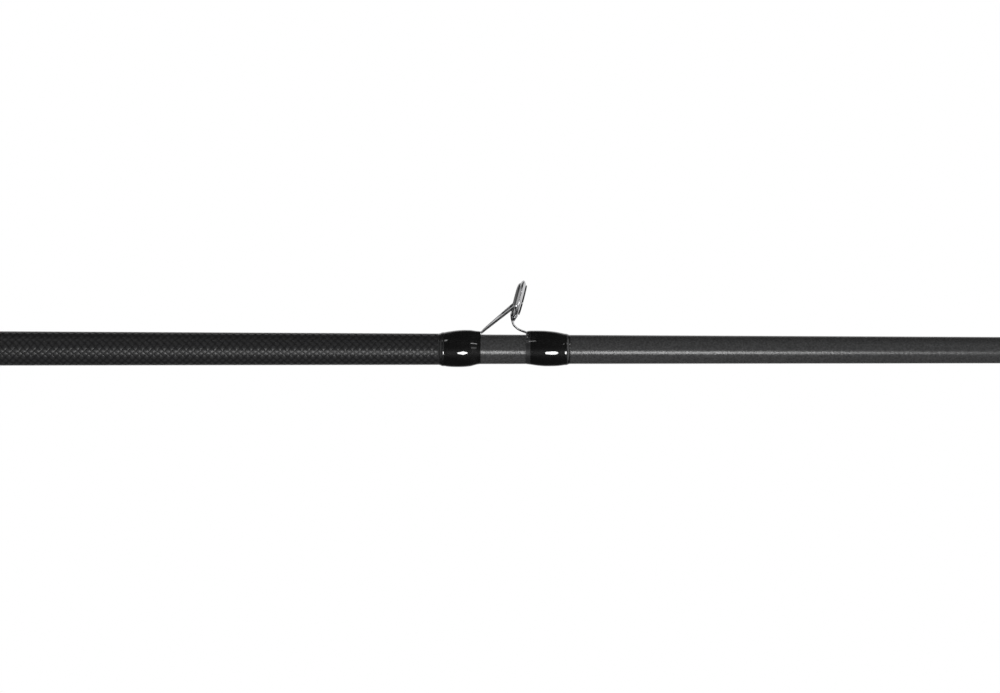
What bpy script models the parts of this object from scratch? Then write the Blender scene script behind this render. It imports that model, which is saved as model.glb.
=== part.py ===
"""Two-piece spinning rod with a screw reel seat, K-frame guides and a folding hook keeper.

The rod lies along +X, from the butt cap's end face at the origin to the tip top.
The guides, the reel foot's land and the hook keeper are on the +Z side.
All numbers are millimetres and degrees; add_part() turns them into metres.
"""

import math

import bmesh
import bpy
from mathutils import Matrix, Vector

MM = 0.001

# Blank: two hollow carbon tubes, the tip section's base slipping over the butt section's end.
BUTT_START = 6.4
FERRULE_START = 1010.0
FERRULE_LENGTH = 85.0
TIP_BLANK_END = 2124.0
BUTT_DIAMETER = 12.6
FERRULE_MALE_DIAMETER = 7.5
FERRULE_FEMALE_DIAMETER = 8.6
FERRULE_TAPER = 0.0069
FERRULE_GAP = 0.05
BUTT_WALL = 1.1
TIP_WALL_AT_BASE = 0.5
TIP_WALL_AT_END = 0.45

# Third guide: the woven outer layer of the blank stops under its rear binding.
GUIDE_3_X = 1280.0
WEAVE_END = GUIDE_3_X - 10.6
WEAVE_STEP_LENGTH = 1.2
WEAVE_END_DIAMETER = 6.80
PLAIN_START_DIAMETER = 6.49
PLAIN_DIAMETERS = ((GUIDE_3_X, 6.42), (1387.0, 5.76), (1700.0, 3.95), (TIP_BLANK_END, 1.8))

# Handle
BUTT_CAP_END = 26.0
BUTT_CAP_RADIUS = 14.6
TRIM_LENGTH = 3.0
REAR_GRIP_END = 128.0
SEAT_GRIP_START = 256.0
SEAT_START = 300.0
FORE_GRIP_LENGTH = 70.0
CHECK_LENGTH = 5.0
SEAM = 0.3
BORE_GAP = 0.1

# Reel seat: a threaded barrel, a saddle with the reel foot's flat land, and two hoods.
SEAT_BORE_RADIUS = 7.6
THREAD_PITCH = 3.0
THREAD_TURNS = 13
THREAD_ROOT = 9.5
THREAD_CREST = 10.4
BARREL_RADIUS = 10.45
THREAD_LEAD_IN = 0.4
THREAD_CLEARANCE = 0.2
NUT_START = 302.0
NUT_LENGTH = 12.0
NUT_RADIUS = 13.4
NUT_FLUTES = 14
HOOD_START = NUT_START + NUT_LENGTH + SEAM
HOOD_LENGTH = 19.0
HOOD_TRAVEL = 18.0
SADDLE_START = 352.0
SADDLE_END = 384.0
SADDLE_RADIUS = 12.4
LAND_HEIGHT = 10.6
FIXED_HOOD_START = SADDLE_END + SEAM
SEAT_END = FIXED_HOOD_START + HOOD_LENGTH
HOOD_BORE = 10.7
HOOD_LINER_WALL = 0.9
HOOD_SHELL_WALL = 0.9
HOOD_SKIN_GAP = 0.05
POCKET_HALF_WIDTH = 7.0
POCKET_MOUTH_HEIGHT = 16.2
POCKET_END_HEIGHT = 13.2
POCKET_DEPTH = 14.0
KEY_HALF_WIDTH = 1.3
KEYWAY_HALF_WIDTH = 1.7
KEYWAY_FLOOR = 8.9

# Hook keeper
KEEPER_X = 512.0
KEEPER_PLATE_HALF = 14.0
KEEPER_SHEET = 0.5
KEEPER_EAR_Y = 2.1
KEEPER_PIVOT_RISE = 2.3
KEEPER_WIRE_RADIUS = 0.4
KEEPER_HOLE_RADIUS = 0.5

# Guides
TILT = 14.7
FOOT_GAP = 0.06
GUIDE_1_X = 880.0
GUIDE_2_X = 1120.0
RUNNER_X = (1430.0, 1570.0, 1700.0, 1820.0, 1930.0, 2035.0)
TIP_TOP_TUBE_START = 2112.0
TIP_RING_X = 2131.6

SIDES = 20
ROD_SIDES = 16
RUNNER_SIDES = 12
TOP = ROD_SIDES // 4

FINISHES = {
    "carbon": ((0.022, 0.022, 0.023), 0.3, 0.2),
    "thread": ((0.006, 0.006, 0.006), 0.06, 0.0),
    "foam": ((0.018, 0.018, 0.018), 0.85, 0.0),
    "rubber": ((0.02, 0.02, 0.02), 0.6, 0.0),
    "aluminium": ((0.32, 0.32, 0.33), 0.25, 1.0),
    "steel": ((0.62, 0.62, 0.63), 0.14, 1.0),
    "plastic": ((0.015, 0.015, 0.015), 0.35, 0.0),
    "ceramic": ((0.03, 0.03, 0.032), 0.1, 0.0),
    "arbor": ((0.25, 0.24, 0.2), 0.9, 0.0),
}


# ---------------------------------------------------------------- shapes


def circle(x, radius, sides=SIDES):
    """Points of a polygon about the rod's axis, with corners at +Y, +Z, -Y and -Z."""
    angles = [2 * math.pi * k / sides for k in range(sides)]
    return [(x, radius * math.cos(a), radius * math.sin(a)) for a in angles]


def skin(sections, ring=False):
    """Faces between sections of equal point counts: a ring, or a solid with flat ends."""
    count = len(sections[0])
    verts = [point for section in sections for point in section]
    faces = []
    for i in range(len(sections) if ring else len(sections) - 1):
        here = i * count
        there = (i + 1) % len(sections) * count
        for k in range(count):
            after = (k + 1) % count
            faces.append((here + k, here + after, there + after, there + k))
    if not ring:
        faces.append(tuple(range(count)))
        faces.append(tuple(range(len(verts) - count, len(verts))))
    return verts, faces


def turned(profile, sides=SIDES, ring=True):
    """A profile of (x, radius) points turned about the rod's axis."""
    return skin([circle(x, radius, sides) for x, radius in profile], ring)


def moved(shape, matrix):
    verts, faces = shape
    return [matrix @ Vector(point) for point in verts], faces


def block(low, high):
    corners = [
        [(x, low[1], low[2]), (x, high[1], low[2]), (x, high[1], high[2]), (x, low[1], high[2])]
        for x in (low[0], high[0])
    ]
    return skin(corners)


def strip(path, half_widths, thicknesses):
    """A flat strip along a path: its width lies along Y, its thickness across the path."""
    sections = []
    for i, point in enumerate(path):
        before = Vector(path[max(i - 1, 0)])
        after = Vector(path[min(i + 1, len(path) - 1)])
        along = after - before
        normal = Vector((-along.z, 0, along.x)).normalized() * thicknesses[i] / 2
        side = Vector((0, half_widths[i], 0))
        centre = Vector(point)
        signs = ((-1, -1), (1, -1), (1, 1), (-1, 1))
        sections.append([centre + side * a + normal * b for a, b in signs])
    return skin(sections)


def wire(path, radius, sides=6):
    """A round wire bent into a closed loop."""
    sections = []
    for i, point in enumerate(path):
        along = (Vector(path[(i + 1) % len(path)]) - Vector(path[i - 1])).normalized()
        across = along.cross(Vector((0, 0, 1))).normalized()
        up = across.cross(along)
        angles = [2 * math.pi * k / sides for k in range(sides)]
        sections.append(
            [Vector(point) + (across * math.cos(a) + up * math.sin(a)) * radius for a in angles]
        )
    return skin(sections, ring=True)


def threaded_rod(start, turns, radii, flank_starts, end):
    """A solid with a right-hand thread that runs out at both ends.

    Every column of points climbs one pitch in a full turn, so the seam joins a column
    to the first one, one pitch further on.
    """
    per_turn = 4
    total = per_turn * turns
    columns = []
    for i in range(SIDES):
        column = []
        for j in range(total):
            travel = j // per_turn + i / SIDES
            fade = min(max(min(travel - 1, turns - 1.3 - travel) / 0.4, 0), 1)
            high = j % per_turn in (1, 2)
            radius = radii[0] + (radii[1] - radii[0]) * fade * high
            angle = 2 * math.pi * i / SIDES
            x = start + THREAD_PITCH * (travel + flank_starts[j % per_turn])
            column.append((x, radius * math.cos(angle), radius * math.sin(angle)))
        columns.append(column)
    verts = [point for column in columns for point in column]
    first_ring = len(verts)
    verts += circle(start - THREAD_LEAD_IN, radii[0])
    last_ring = len(verts)
    verts += circle(end, radii[0])

    def at(column, row):
        return column * total + row

    faces = []
    for i in range(SIDES - 1):
        for j in range(total - 1):
            faces.append((at(i, j), at(i + 1, j), at(i + 1, j + 1), at(i, j + 1)))
        faces.append((first_ring + i, first_ring + i + 1, at(i + 1, 0), at(i, 0)))
        faces.append((at(i, total - 1), at(i + 1, total - 1), last_ring + i + 1, last_ring + i))
    last = SIDES - 1
    for j in range(total - 1 - per_turn):
        low, high = j + per_turn, j + per_turn + 1
        faces.append((at(last, j), at(0, low), at(0, high), at(last, j + 1)))
    first_seam = [at(0, j) for j in range(per_turn + 1)]
    faces.append((first_ring + last, first_ring, *first_seam, at(last, 0)))
    last_seam = [at(last, total - 1 - j) for j in range(per_turn + 1)]
    faces.append((last_ring, last_ring + last, *last_seam, at(0, total - 1)))
    faces.append(tuple(range(first_ring, first_ring + SIDES)))
    faces.append(tuple(range(last_ring, last_ring + SIDES)))
    return verts, faces


# ---------------------------------------------------------------- scene objects


def finish(name, kind):
    colour, roughness, metallic = FINISHES[kind]
    material = bpy.data.materials.new(f"{name}_{kind}")
    material.use_nodes = True
    shader = material.node_tree.nodes["Principled BSDF"]
    shader.inputs["Base Color"].default_value = (*colour, 1)
    shader.inputs["Roughness"].default_value = roughness
    shader.inputs["Metallic"].default_value = metallic
    material.diffuse_color = (*colour, 1)
    return material


def mesh_object(name, shape, origin=(0, 0, 0)):
    verts, faces = shape
    start = Vector(origin)
    mesh = bpy.data.meshes.new(name)
    mesh.from_pydata([(Vector(point) - start) * MM for point in verts], [], faces)
    bm = bmesh.new()
    bm.from_mesh(mesh)
    bmesh.ops.recalc_face_normals(bm, faces=bm.faces[:])
    bm.to_mesh(mesh)
    bm.free()
    thing = bpy.data.objects.new(name, mesh)
    thing.location = start * MM
    bpy.context.collection.objects.link(thing)
    return thing


def shape_with(thing, shape, operation):
    """Join a second shape to an object, or cut it out of it."""
    tool = mesh_object("tool", shape)
    modifier = thing.modifiers.new(operation.lower(), "BOOLEAN")
    modifier.operation = operation
    modifier.object = tool
    bpy.context.view_layer.update()
    seen = thing.evaluated_get(bpy.context.evaluated_depsgraph_get())
    made = bpy.data.meshes.new_from_object(seen)
    old = thing.data
    thing.modifiers.clear()
    thing.data = made
    made.name = thing.name
    bpy.data.meshes.remove(old)
    bpy.data.objects.remove(tool)


def add_part(name, shape, kind, origin, parent=None, joins=(), cuts=()):
    thing = mesh_object(name, shape, origin)
    for other in joins:
        shape_with(thing, other, "UNION")
    for other in cuts:
        shape_with(thing, other, "DIFFERENCE")
    thing.data.materials.clear()
    thing.data.materials.append(finish(name, kind))
    thing.data.shade_smooth()
    thing.data.set_sharp_from_angle(angle=math.radians(32))
    if parent:
        thing.parent = parent
        thing.location -= parent.location
    return thing


def add_empty(name, position):
    empty = bpy.data.objects.new(name, None)
    empty.location = Vector(position) * MM
    bpy.context.collection.objects.link(empty)
    return empty


# ---------------------------------------------------------------- blank


def between(x, points):
    """Straight-line value at x through (x, value) points."""
    for (x0, v0), (x1, v1) in zip(points, points[1:]):
        if x <= x1:
            return v0 + (v1 - v0) * (x - x0) / (x1 - x0)
    return points[-1][1]


def butt_radius(x):
    male_end = FERRULE_START + FERRULE_LENGTH
    male_end_diameter = FERRULE_MALE_DIAMETER - FERRULE_TAPER * FERRULE_LENGTH
    points = (
        (BUTT_START, BUTT_DIAMETER),
        (FERRULE_START, FERRULE_MALE_DIAMETER),
        (male_end, male_end_diameter),
    )
    return between(x, points) / 2


def tip_radius(x):
    points = (
        (FERRULE_START, FERRULE_FEMALE_DIAMETER),
        (WEAVE_END, WEAVE_END_DIAMETER),
        (WEAVE_END + WEAVE_STEP_LENGTH, PLAIN_START_DIAMETER),
        *PLAIN_DIAMETERS,
    )
    return between(x, points) / 2


def tip_bore_radius(x):
    """Over the ferrule the bore follows the butt section; beyond it the wall is even."""
    socket_end = FERRULE_START + FERRULE_LENGTH
    if x <= socket_end:
        return butt_radius(x) + FERRULE_GAP
    walls = ((socket_end, TIP_WALL_AT_BASE), (TIP_BLANK_END, TIP_WALL_AT_END))
    return tip_radius(x) - between(x, walls)


def build_blanks(tip):
    male_end = FERRULE_START + FERRULE_LENGTH
    stations = (BUTT_START, FERRULE_START, male_end)
    outside = [(x, butt_radius(x)) for x in stations]
    inside = [(x, butt_radius(x) - BUTT_WALL) for x in reversed(stations)]
    shape = turned(outside + inside, ROD_SIDES)
    add_part("butt_blank", shape, "carbon", (BUTT_START, 0, 0))

    step = (WEAVE_END, WEAVE_END + WEAVE_STEP_LENGTH)
    stations = (FERRULE_START, male_end, *step, *(x for x, _ in PLAIN_DIAMETERS))
    outside = [(x, tip_radius(x)) for x in stations]
    bore_stations = (TIP_BLANK_END, 1700.0, 1387.0, male_end, FERRULE_START)
    inside = [(x, tip_bore_radius(x)) for x in bore_stations]
    shape = turned(outside + inside, ROD_SIDES)
    add_part("tip_blank", shape, "carbon", (FERRULE_START, 0, 0), tip)


# ---------------------------------------------------------------- bindings


def corner(k):
    """Angle of a blank polygon's corner, counted from the top one."""
    return 2 * math.pi * (TOP + k) / ROD_SIDES


def flatten(section, height):
    """Lift a section's top corner and its two neighbours to one level."""
    for k in (-1, 0, 1):
        section[TOP + k] = (section[TOP][0], height / math.tan(corner(k)), height)


def binding(start, end, radius_at, thickness, foot=None):
    """Thread and epoxy round the blank: thin at both ends, with a tunnel for a guide foot.

    foot is (mouth, inner_end, sheet): it comes in at mouth, which is start or end.
    """
    swell = ((0, 0.18), (0.13, 0.68), (0.38, 1.0), (0.68, 0.9), (0.9, 0.5), (1, 0.18))
    points = [(start + (end - start) * share, value) for share, value in swell]
    step = (WEAVE_END, WEAVE_END + WEAVE_STEP_LENGTH)
    bore_stations = {start, end, *(x for x in step if start < x < end)}
    if foot:
        mouth, inner_end, sheet = foot
        away = 1 if inner_end > mouth else -1
        bore_stations |= {inner_end + away * 0.25, inner_end + away * 0.65}
    outer, inner = [], []
    for x, _ in points:
        radius = radius_at(x)
        cover = thickness * between(x, points)
        outer.append(circle(x, radius + cover, ROD_SIDES))
        if foot:
            past = max((x - inner_end) * away - 0.65, 0)
            hump = max(1 - past / 2.0, 0)
            crown = max(2 * FOOT_GAP + sheet + 0.2, cover + sheet * 0.9)
            flatten(outer[-1], radius + cover + (crown - cover) * hump)
            shoulder = radius + cover + (crown - cover) * hump * 0.35
            for k in (-2, 2):
                place = (x, shoulder * math.cos(corner(k)), shoulder * math.sin(corner(k)))
                outer[-1][TOP + k] = place
    for x in sorted(bore_stations):
        inner.append(circle(x, radius_at(x) + FOOT_GAP, ROD_SIDES))
        if foot and (x - inner_end) * away <= 0.3:
            flatten(inner[-1], radius_at(x) + 2 * FOOT_GAP + sheet)
    return skin(outer + inner[::-1], ring=True)


# ---------------------------------------------------------------- guides


def ring_profile(hole, seat, collar, band, rims):
    """Ceramic ring: round inside, a flange against the collar's rear face, a front lip."""
    rear, front = -band / 2 - rims[0], band / 2 + rims[1]
    flange = seat + 0.45 * (collar - seat)
    crown = hole + (seat - hole) * 0.5
    return [
        (rear, crown),
        (rear + rims[0] * 0.2, flange * 0.95),
        (-band / 2 - FOOT_GAP, flange),
        (-band / 2 - FOOT_GAP, seat - 0.06),
        (front, seat - 0.06),
        (front, crown),
        (band * 0.2, hole),
        (-band * 0.45, hole),
    ]


def collar_profile(seat, collar, band):
    """The steel collar: full width where it holds the ceramic, sloping to a thin rim."""
    half, rim = band / 2, band * 0.2
    slope_start = seat + 0.5 * (collar - seat)
    return [
        (-half, seat),
        (-half, slope_start),
        (-rim, collar),
        (rim, collar),
        (half, slope_start),
        (half, seat),
    ]


def guide(name, x, parent, radius_at, collar, rise, sheet, rear_foot, front_foot, cover):
    """A K-frame guide: the ring leans to the tip on two rear struts and one front leg.

    collar is the ring's outer radius and rise the height of its centre over the blank.
    rear_foot and front_foot are the feet's lengths under their bindings; a single-foot
    guide has no front_foot.
    """
    sides = ROD_SIDES if front_foot else RUNNER_SIDES
    band = 3 * sheet
    strut = 1.35 * sheet
    height = radius_at(x) + rise
    scale = rise / 7.77
    seat = collar - 0.29 * collar * min(1, 4.28 / collar) ** 0.3
    hole = seat * 0.8
    rims = (band * 0.5, band * 0.27)
    stand = Matrix.Translation((x, 0, height)) @ Matrix.Rotation(math.radians(TILT), 4, "Y")
    ceramic = moved(turned(ring_profile(hole, seat, collar, band, rims), sides), stand)
    add_part(f"{name}_ring", ceramic, "ceramic", (x, 0, height), parent)

    def foot_line(at):
        return radius_at(at) + FOOT_GAP + sheet / 2

    bend = x - 8.75 * scale
    foot_end = bend - rear_foot
    half_foot = 0.25 * (radius_at(bend) + 0.5)
    attach_z = height - 0.43 * collar
    attach_y = 0.85 * collar
    joins = []
    for side in (-1, 1):
        path = (
            (bend - 1.2, side * half_foot * 0.45, foot_line(bend)),
            (bend, side * half_foot * 0.5, foot_line(bend)),
            (bend + 3.9 * scale, side * attach_y * 0.56, foot_line(bend) + 3.0 * scale),
            (x - 0.36 * collar, side * attach_y, attach_z - 0.03 * collar),
            (x - 0.12 * collar, side * attach_y, attach_z + 0.02 * collar),
        )
        broad = half_foot * 0.5
        half_widths = (broad, broad, broad, broad * 0.9, broad * 0.9)
        joins.append(strip(path, half_widths, (sheet * 0.9, sheet * 0.9, strut, strut, strut)))
    rear_path = [(foot_end, 0, foot_line(foot_end) - sheet * 0.2)]
    rear_path += [(foot_end + 2.5, 0, foot_line(foot_end + 2.5))]
    if foot_end + 2.5 < WEAVE_END < bend:
        step_end = WEAVE_END + WEAVE_STEP_LENGTH
        rear_path += [(at, 0, foot_line(at)) for at in (WEAVE_END, step_end)]
    rear_path += [(bend + 0.3, 0, foot_line(bend))]
    widths = [half_foot * 0.6] + [half_foot] * (len(rear_path) - 1)
    sheets = [sheet * 0.6] + [sheet] * (len(rear_path) - 1)
    joins.append(strip(rear_path, widths, sheets))
    if front_foot:
        lean = math.sin(math.radians(TILT))
        low = height - 0.93 * collar * math.cos(math.radians(TILT))
        hang = x - 0.95 * collar * lean
        toe = x + 2.6 * scale + front_foot
        ground = foot_line(x + 2.6 * scale)
        drop = low - ground
        path = (
            (hang, 0, low + 0.1),
            (hang - 0.25 * scale, 0, ground + 0.72 * drop),
            (hang - 0.08 * scale, 0, ground + 0.5 * drop),
            (hang + 0.5 * scale, 0, ground + 0.3 * drop),
            (hang + 1.5 * scale, 0, ground + 0.14 * drop),
            (x + 2.1 * scale, 0, foot_line(x + 2.1 * scale)),
            (toe - 2.5, 0, foot_line(toe - 2.5)),
            (toe, 0, foot_line(toe) - sheet * 0.2),
        )
        wide = half_foot * 0.9
        half_widths = (wide * 1.3, wide, wide * 0.9, wide * 0.9, wide, wide, wide, wide * 0.6)
        sheets = (sheet * 1.6, sheet * 1.2, *[sheet] * 5, sheet * 0.6)
        joins.append(strip(path, half_widths, sheets))
    steel = moved(turned(collar_profile(seat, collar, band), sides), stand)
    add_part(f"{name}_frame", steel, "steel", (x, 0, height), parent, joins)

    mouth = bend - 0.1
    start = foot_end - 2.2
    wrap = binding(start, mouth, radius_at, cover, (mouth, foot_end, sheet))
    add_part(f"{name}_rear_binding", wrap, "thread", (start, 0, 0), parent)
    if front_foot:
        mouth = x + 2.1 * scale + 0.1
        wrap = binding(mouth, toe + 2.2, radius_at, cover, (mouth, toe, sheet))
        add_part(f"{name}_front_binding", wrap, "thread", (mouth, 0, 0), parent)


def build_guides(tip):
    guide("guide_1", GUIDE_1_X, None, butt_radius, 13.6, 27.0, 0.8, 15.0, 14.0, 0.6)
    guide("guide_2", GUIDE_2_X, tip, tip_radius, 7.1, 13.2, 0.55, 10.0, 9.5, 0.55)
    guide("guide_3", GUIDE_3_X, tip, tip_radius, 4.28, 7.77, 0.4, 7.0, 6.6, 0.52)
    for number, x in enumerate(RUNNER_X):
        rise = 6.0 - 0.12 * number
        cover = 0.42 - 0.03 * number
        guide(f"guide_{number + 4}", x, tip, tip_radius, 3.3, rise, 0.35, 6.0, None, cover)


def build_tip_top(tip):
    """The tip top: a blind tube glued over the blank, with a ring leaning past its end."""
    end_radius = TIP_BLANK_END + 0.3
    bore = tip_radius(TIP_BLANK_END) + BORE_GAP
    mouth_bore = tip_radius(TIP_TOP_TUBE_START) + BORE_GAP
    wall = 0.35
    tube = turned(
        [
            (end_radius, bore),
            (TIP_TOP_TUBE_START, mouth_bore),
            (TIP_TOP_TUBE_START, mouth_bore + wall),
            (end_radius + 0.6, bore + wall),
            (end_radius + 1.0, bore + wall * 0.5),
        ],
        RUNNER_SIDES,
        ring=False,
    )
    collar, band = 3.3, 1.0
    seat = 2.35
    height = 2.5
    stand = Matrix.Translation((TIP_RING_X, 0, height)) @ Matrix.Rotation(math.radians(TILT), 4, "Y")
    rims = (band * 0.5, band * 0.27)
    ceramic = turned(ring_profile(seat * 0.8, seat, collar, band, rims), RUNNER_SIDES)
    add_part("tip_top_ring", moved(ceramic, stand), "ceramic", (TIP_RING_X, 0, height), tip)
    joins = [moved(turned(collar_profile(seat, collar, band), RUNNER_SIDES), stand)]
    for side in (-1, 1):
        path = (
            (TIP_TOP_TUBE_START + 3.0, side * 0.45, mouth_bore + wall * 0.5),
            (TIP_TOP_TUBE_START + 5.0, side * 0.6, mouth_bore + wall * 1.1),
            (TIP_RING_X - 0.9, side * 3.0, height + 0.75),
            (TIP_RING_X - 0.1, side * 3.0, height + 0.9),
        )
        joins.append(strip(path, (0.3, 0.34, 0.25, 0.25), (0.45, 0.45, 0.45, 0.45)))
    keel = (
        (end_radius - 0.2, 0, -bore - wall * 0.3),
        (end_radius + 1.6, 0, -bore * 0.8),
        (TIP_RING_X - 0.75, 0, height - collar * 0.9),
    )
    joins.append(strip(keel, (0.5, 0.6, 0.8), (0.42, 0.42, 0.42)))
    chin = ((end_radius, 0, -0.2), (TIP_RING_X - 0.8, 0, height - collar * 0.86))
    joins.append(strip(chin, (0.5, 0.7), (1.6, 0.6)))
    add_part("tip_top_frame", tube, "steel", (TIP_TOP_TUBE_START, 0, 0), tip, joins)
    start, end = TIP_TOP_TUBE_START - 8.0, TIP_TOP_TUBE_START - 0.2
    wrap = binding(start, end, tip_radius, 0.36)
    add_part("tip_top_binding", wrap, "thread", (start, 0, 0), tip)


# ---------------------------------------------------------------- handle


def on_butt(outline):
    """A sleeve on the butt section with the given outside and a bore that fits the taper."""
    bore = [(x, butt_radius(x) + BORE_GAP) for x in (outline[-1][0], outline[0][0])]
    return turned(list(outline) + bore)


def build_grips():
    bore = butt_radius(BUTT_START) + BORE_GAP
    cap = [
        (BUTT_START - SEAM, bore),
        (BUTT_CAP_END, bore),
        (BUTT_CAP_END, BUTT_CAP_RADIUS - 1.0),
        (18.0, BUTT_CAP_RADIUS - 0.2),
        (8.0, BUTT_CAP_RADIUS),
        (3.0, BUTT_CAP_RADIUS - 0.7),
        (0.8, BUTT_CAP_RADIUS - 2.2),
        (0.0, BUTT_CAP_RADIUS - 4.4),
    ]
    add_part("butt_cap", turned(cap, ring=False), "rubber", (0, 0, 0))

    start = BUTT_CAP_END + SEAM
    end = start + TRIM_LENGTH
    trim = [(start, 13.4), (start + 0.5, 13.9), (end - 0.5, 13.8), (end, 13.3)]
    add_part("butt_trim_ring", on_butt(trim), "aluminium", (start, 0, 0))

    start = end + SEAM
    length = REAR_GRIP_END - start
    swell = ((0, 12.9), (0.03, 13.4), (0.3, 12.4), (0.55, 11.7), (0.8, 12.3), (0.97, 11.6), (1, 11.0))
    grip = [(start + length * share, radius) for share, radius in swell]
    add_part("rear_grip", on_butt(grip), "foam", (start, 0, 0))

    start = REAR_GRIP_END + SEAM
    check = [(start, 10.6), (start + 1.2, 10.6), (start + 2.0, 9.4), (start + CHECK_LENGTH, 7.0)]
    add_part("rear_grip_check", on_butt(check), "aluminium", (start, 0, 0))

    start = SEAT_GRIP_START - SEAM - CHECK_LENGTH
    check = [(start, 6.8), (start + 3.0, 8.6), (start + 3.8, 9.6), (start + CHECK_LENGTH, 9.6)]
    add_part("seat_grip_check", on_butt(check), "aluminium", (start, 0, 0))

    length = SEAT_START - SEAM - SEAT_GRIP_START
    swell = ((0, 9.4), (0.06, 10.0), (0.35, 11.2), (0.7, 12.5), (0.95, 13.0), (1, 12.6))
    grip = [(SEAT_GRIP_START + length * share, radius) for share, radius in swell]
    add_part("seat_grip", on_butt(grip), "foam", (SEAT_GRIP_START, 0, 0))

    start = SEAT_END + SEAM
    end = start + TRIM_LENGTH
    trim = [(start, 12.4), (start + 0.5, 12.9), (end - 0.5, 12.9), (end, 12.4)]
    add_part("seat_trim_ring", on_butt(trim), "aluminium", (start, 0, 0))

    start = end + SEAM
    swell = ((0, 12.3), (0.04, 12.8), (0.3, 12.9), (0.6, 11.2), (0.85, 9.4), (0.97, 8.6), (1, 8.2))
    grip = [(start + FORE_GRIP_LENGTH * share, radius) for share, radius in swell]
    add_part("fore_grip", on_butt(grip), "foam", (start, 0, 0))

    start += FORE_GRIP_LENGTH + SEAM
    check = [(start, 8.0), (start + 1.2, 8.0), (start + 2.0, 7.3), (start + CHECK_LENGTH, 6.0)]
    add_part("fore_grip_check", on_butt(check), "aluminium", (start, 0, 0))


# ---------------------------------------------------------------- reel seat


def lobed(x, radius, half_width, height=None):
    """A circle joined to a round-cornered box on its +Z side; the box's top is at height.

    Without a height the section is the circle alone, with the same number of points.
    """
    corner = math.asin(half_width / radius)
    low_sides, top_sides = 17, 6
    points = []
    for k in range(low_sides):
        angle = math.pi / 2 + corner + (2 * math.pi - 2 * corner) * k / (low_sides - 1)
        points.append((x, radius * math.cos(angle), radius * math.sin(angle)))
    if height is None:
        for k in range(1, top_sides + 1):
            angle = math.pi / 2 - corner + 2 * corner * k / (top_sides + 1)
            points.append((x, radius * math.cos(angle), radius * math.sin(angle)))
        return points
    soft = 0.35 * (height - radius * math.cos(corner))
    for turn in (0, 45, 90, 90, 45, 0):
        side = 1 if len(points) < low_sides + top_sides // 2 else -1
        y = half_width - soft * (1 - math.cos(math.radians(turn)))
        z = height - soft * (1 - math.sin(math.radians(turn)))
        points.append((x, side * y, z))
    return points


def hood_pieces(mouth, back):
    """Shell and liner of a hood, both with the reel foot's pocket open at mouth."""
    away = 1 if back > mouth else -1

    slope = (POCKET_END_HEIGHT - POCKET_MOUTH_HEIGHT) / POCKET_DEPTH

    def section(depth, wall):
        height = POCKET_MOUTH_HEIGHT + slope * depth + wall
        return lobed(mouth + away * depth, HOOD_BORE + wall, POCKET_HALF_WIDTH + wall, height)

    def sleeve(depth):
        return lobed(mouth + away * depth, HOOD_BORE, POCKET_HALF_WIDTH)

    ends = (0, HOOD_LENGTH)
    liner_out = [section(depth, HOOD_LINER_WALL) for depth in ends]
    liner_in = [
        section(0, 0),
        section(POCKET_DEPTH, 0),
        sleeve(POCKET_DEPTH + 0.3),
        sleeve(HOOD_LENGTH),
    ]
    skin_wall = HOOD_LINER_WALL + HOOD_SKIN_GAP
    shell_in = [section(depth, skin_wall) for depth in ends]
    full = skin_wall + HOOD_SHELL_WALL
    shell_out = [
        section(0, full - 0.3),
        section(0.3, full),
        section(HOOD_LENGTH - 0.6, full),
        section(HOOD_LENGTH, full - 0.5),
    ]
    shell = skin(shell_out + shell_in[::-1], ring=True)
    liner = skin(liner_out + liner_in[::-1], ring=True)
    return shell, liner


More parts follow.
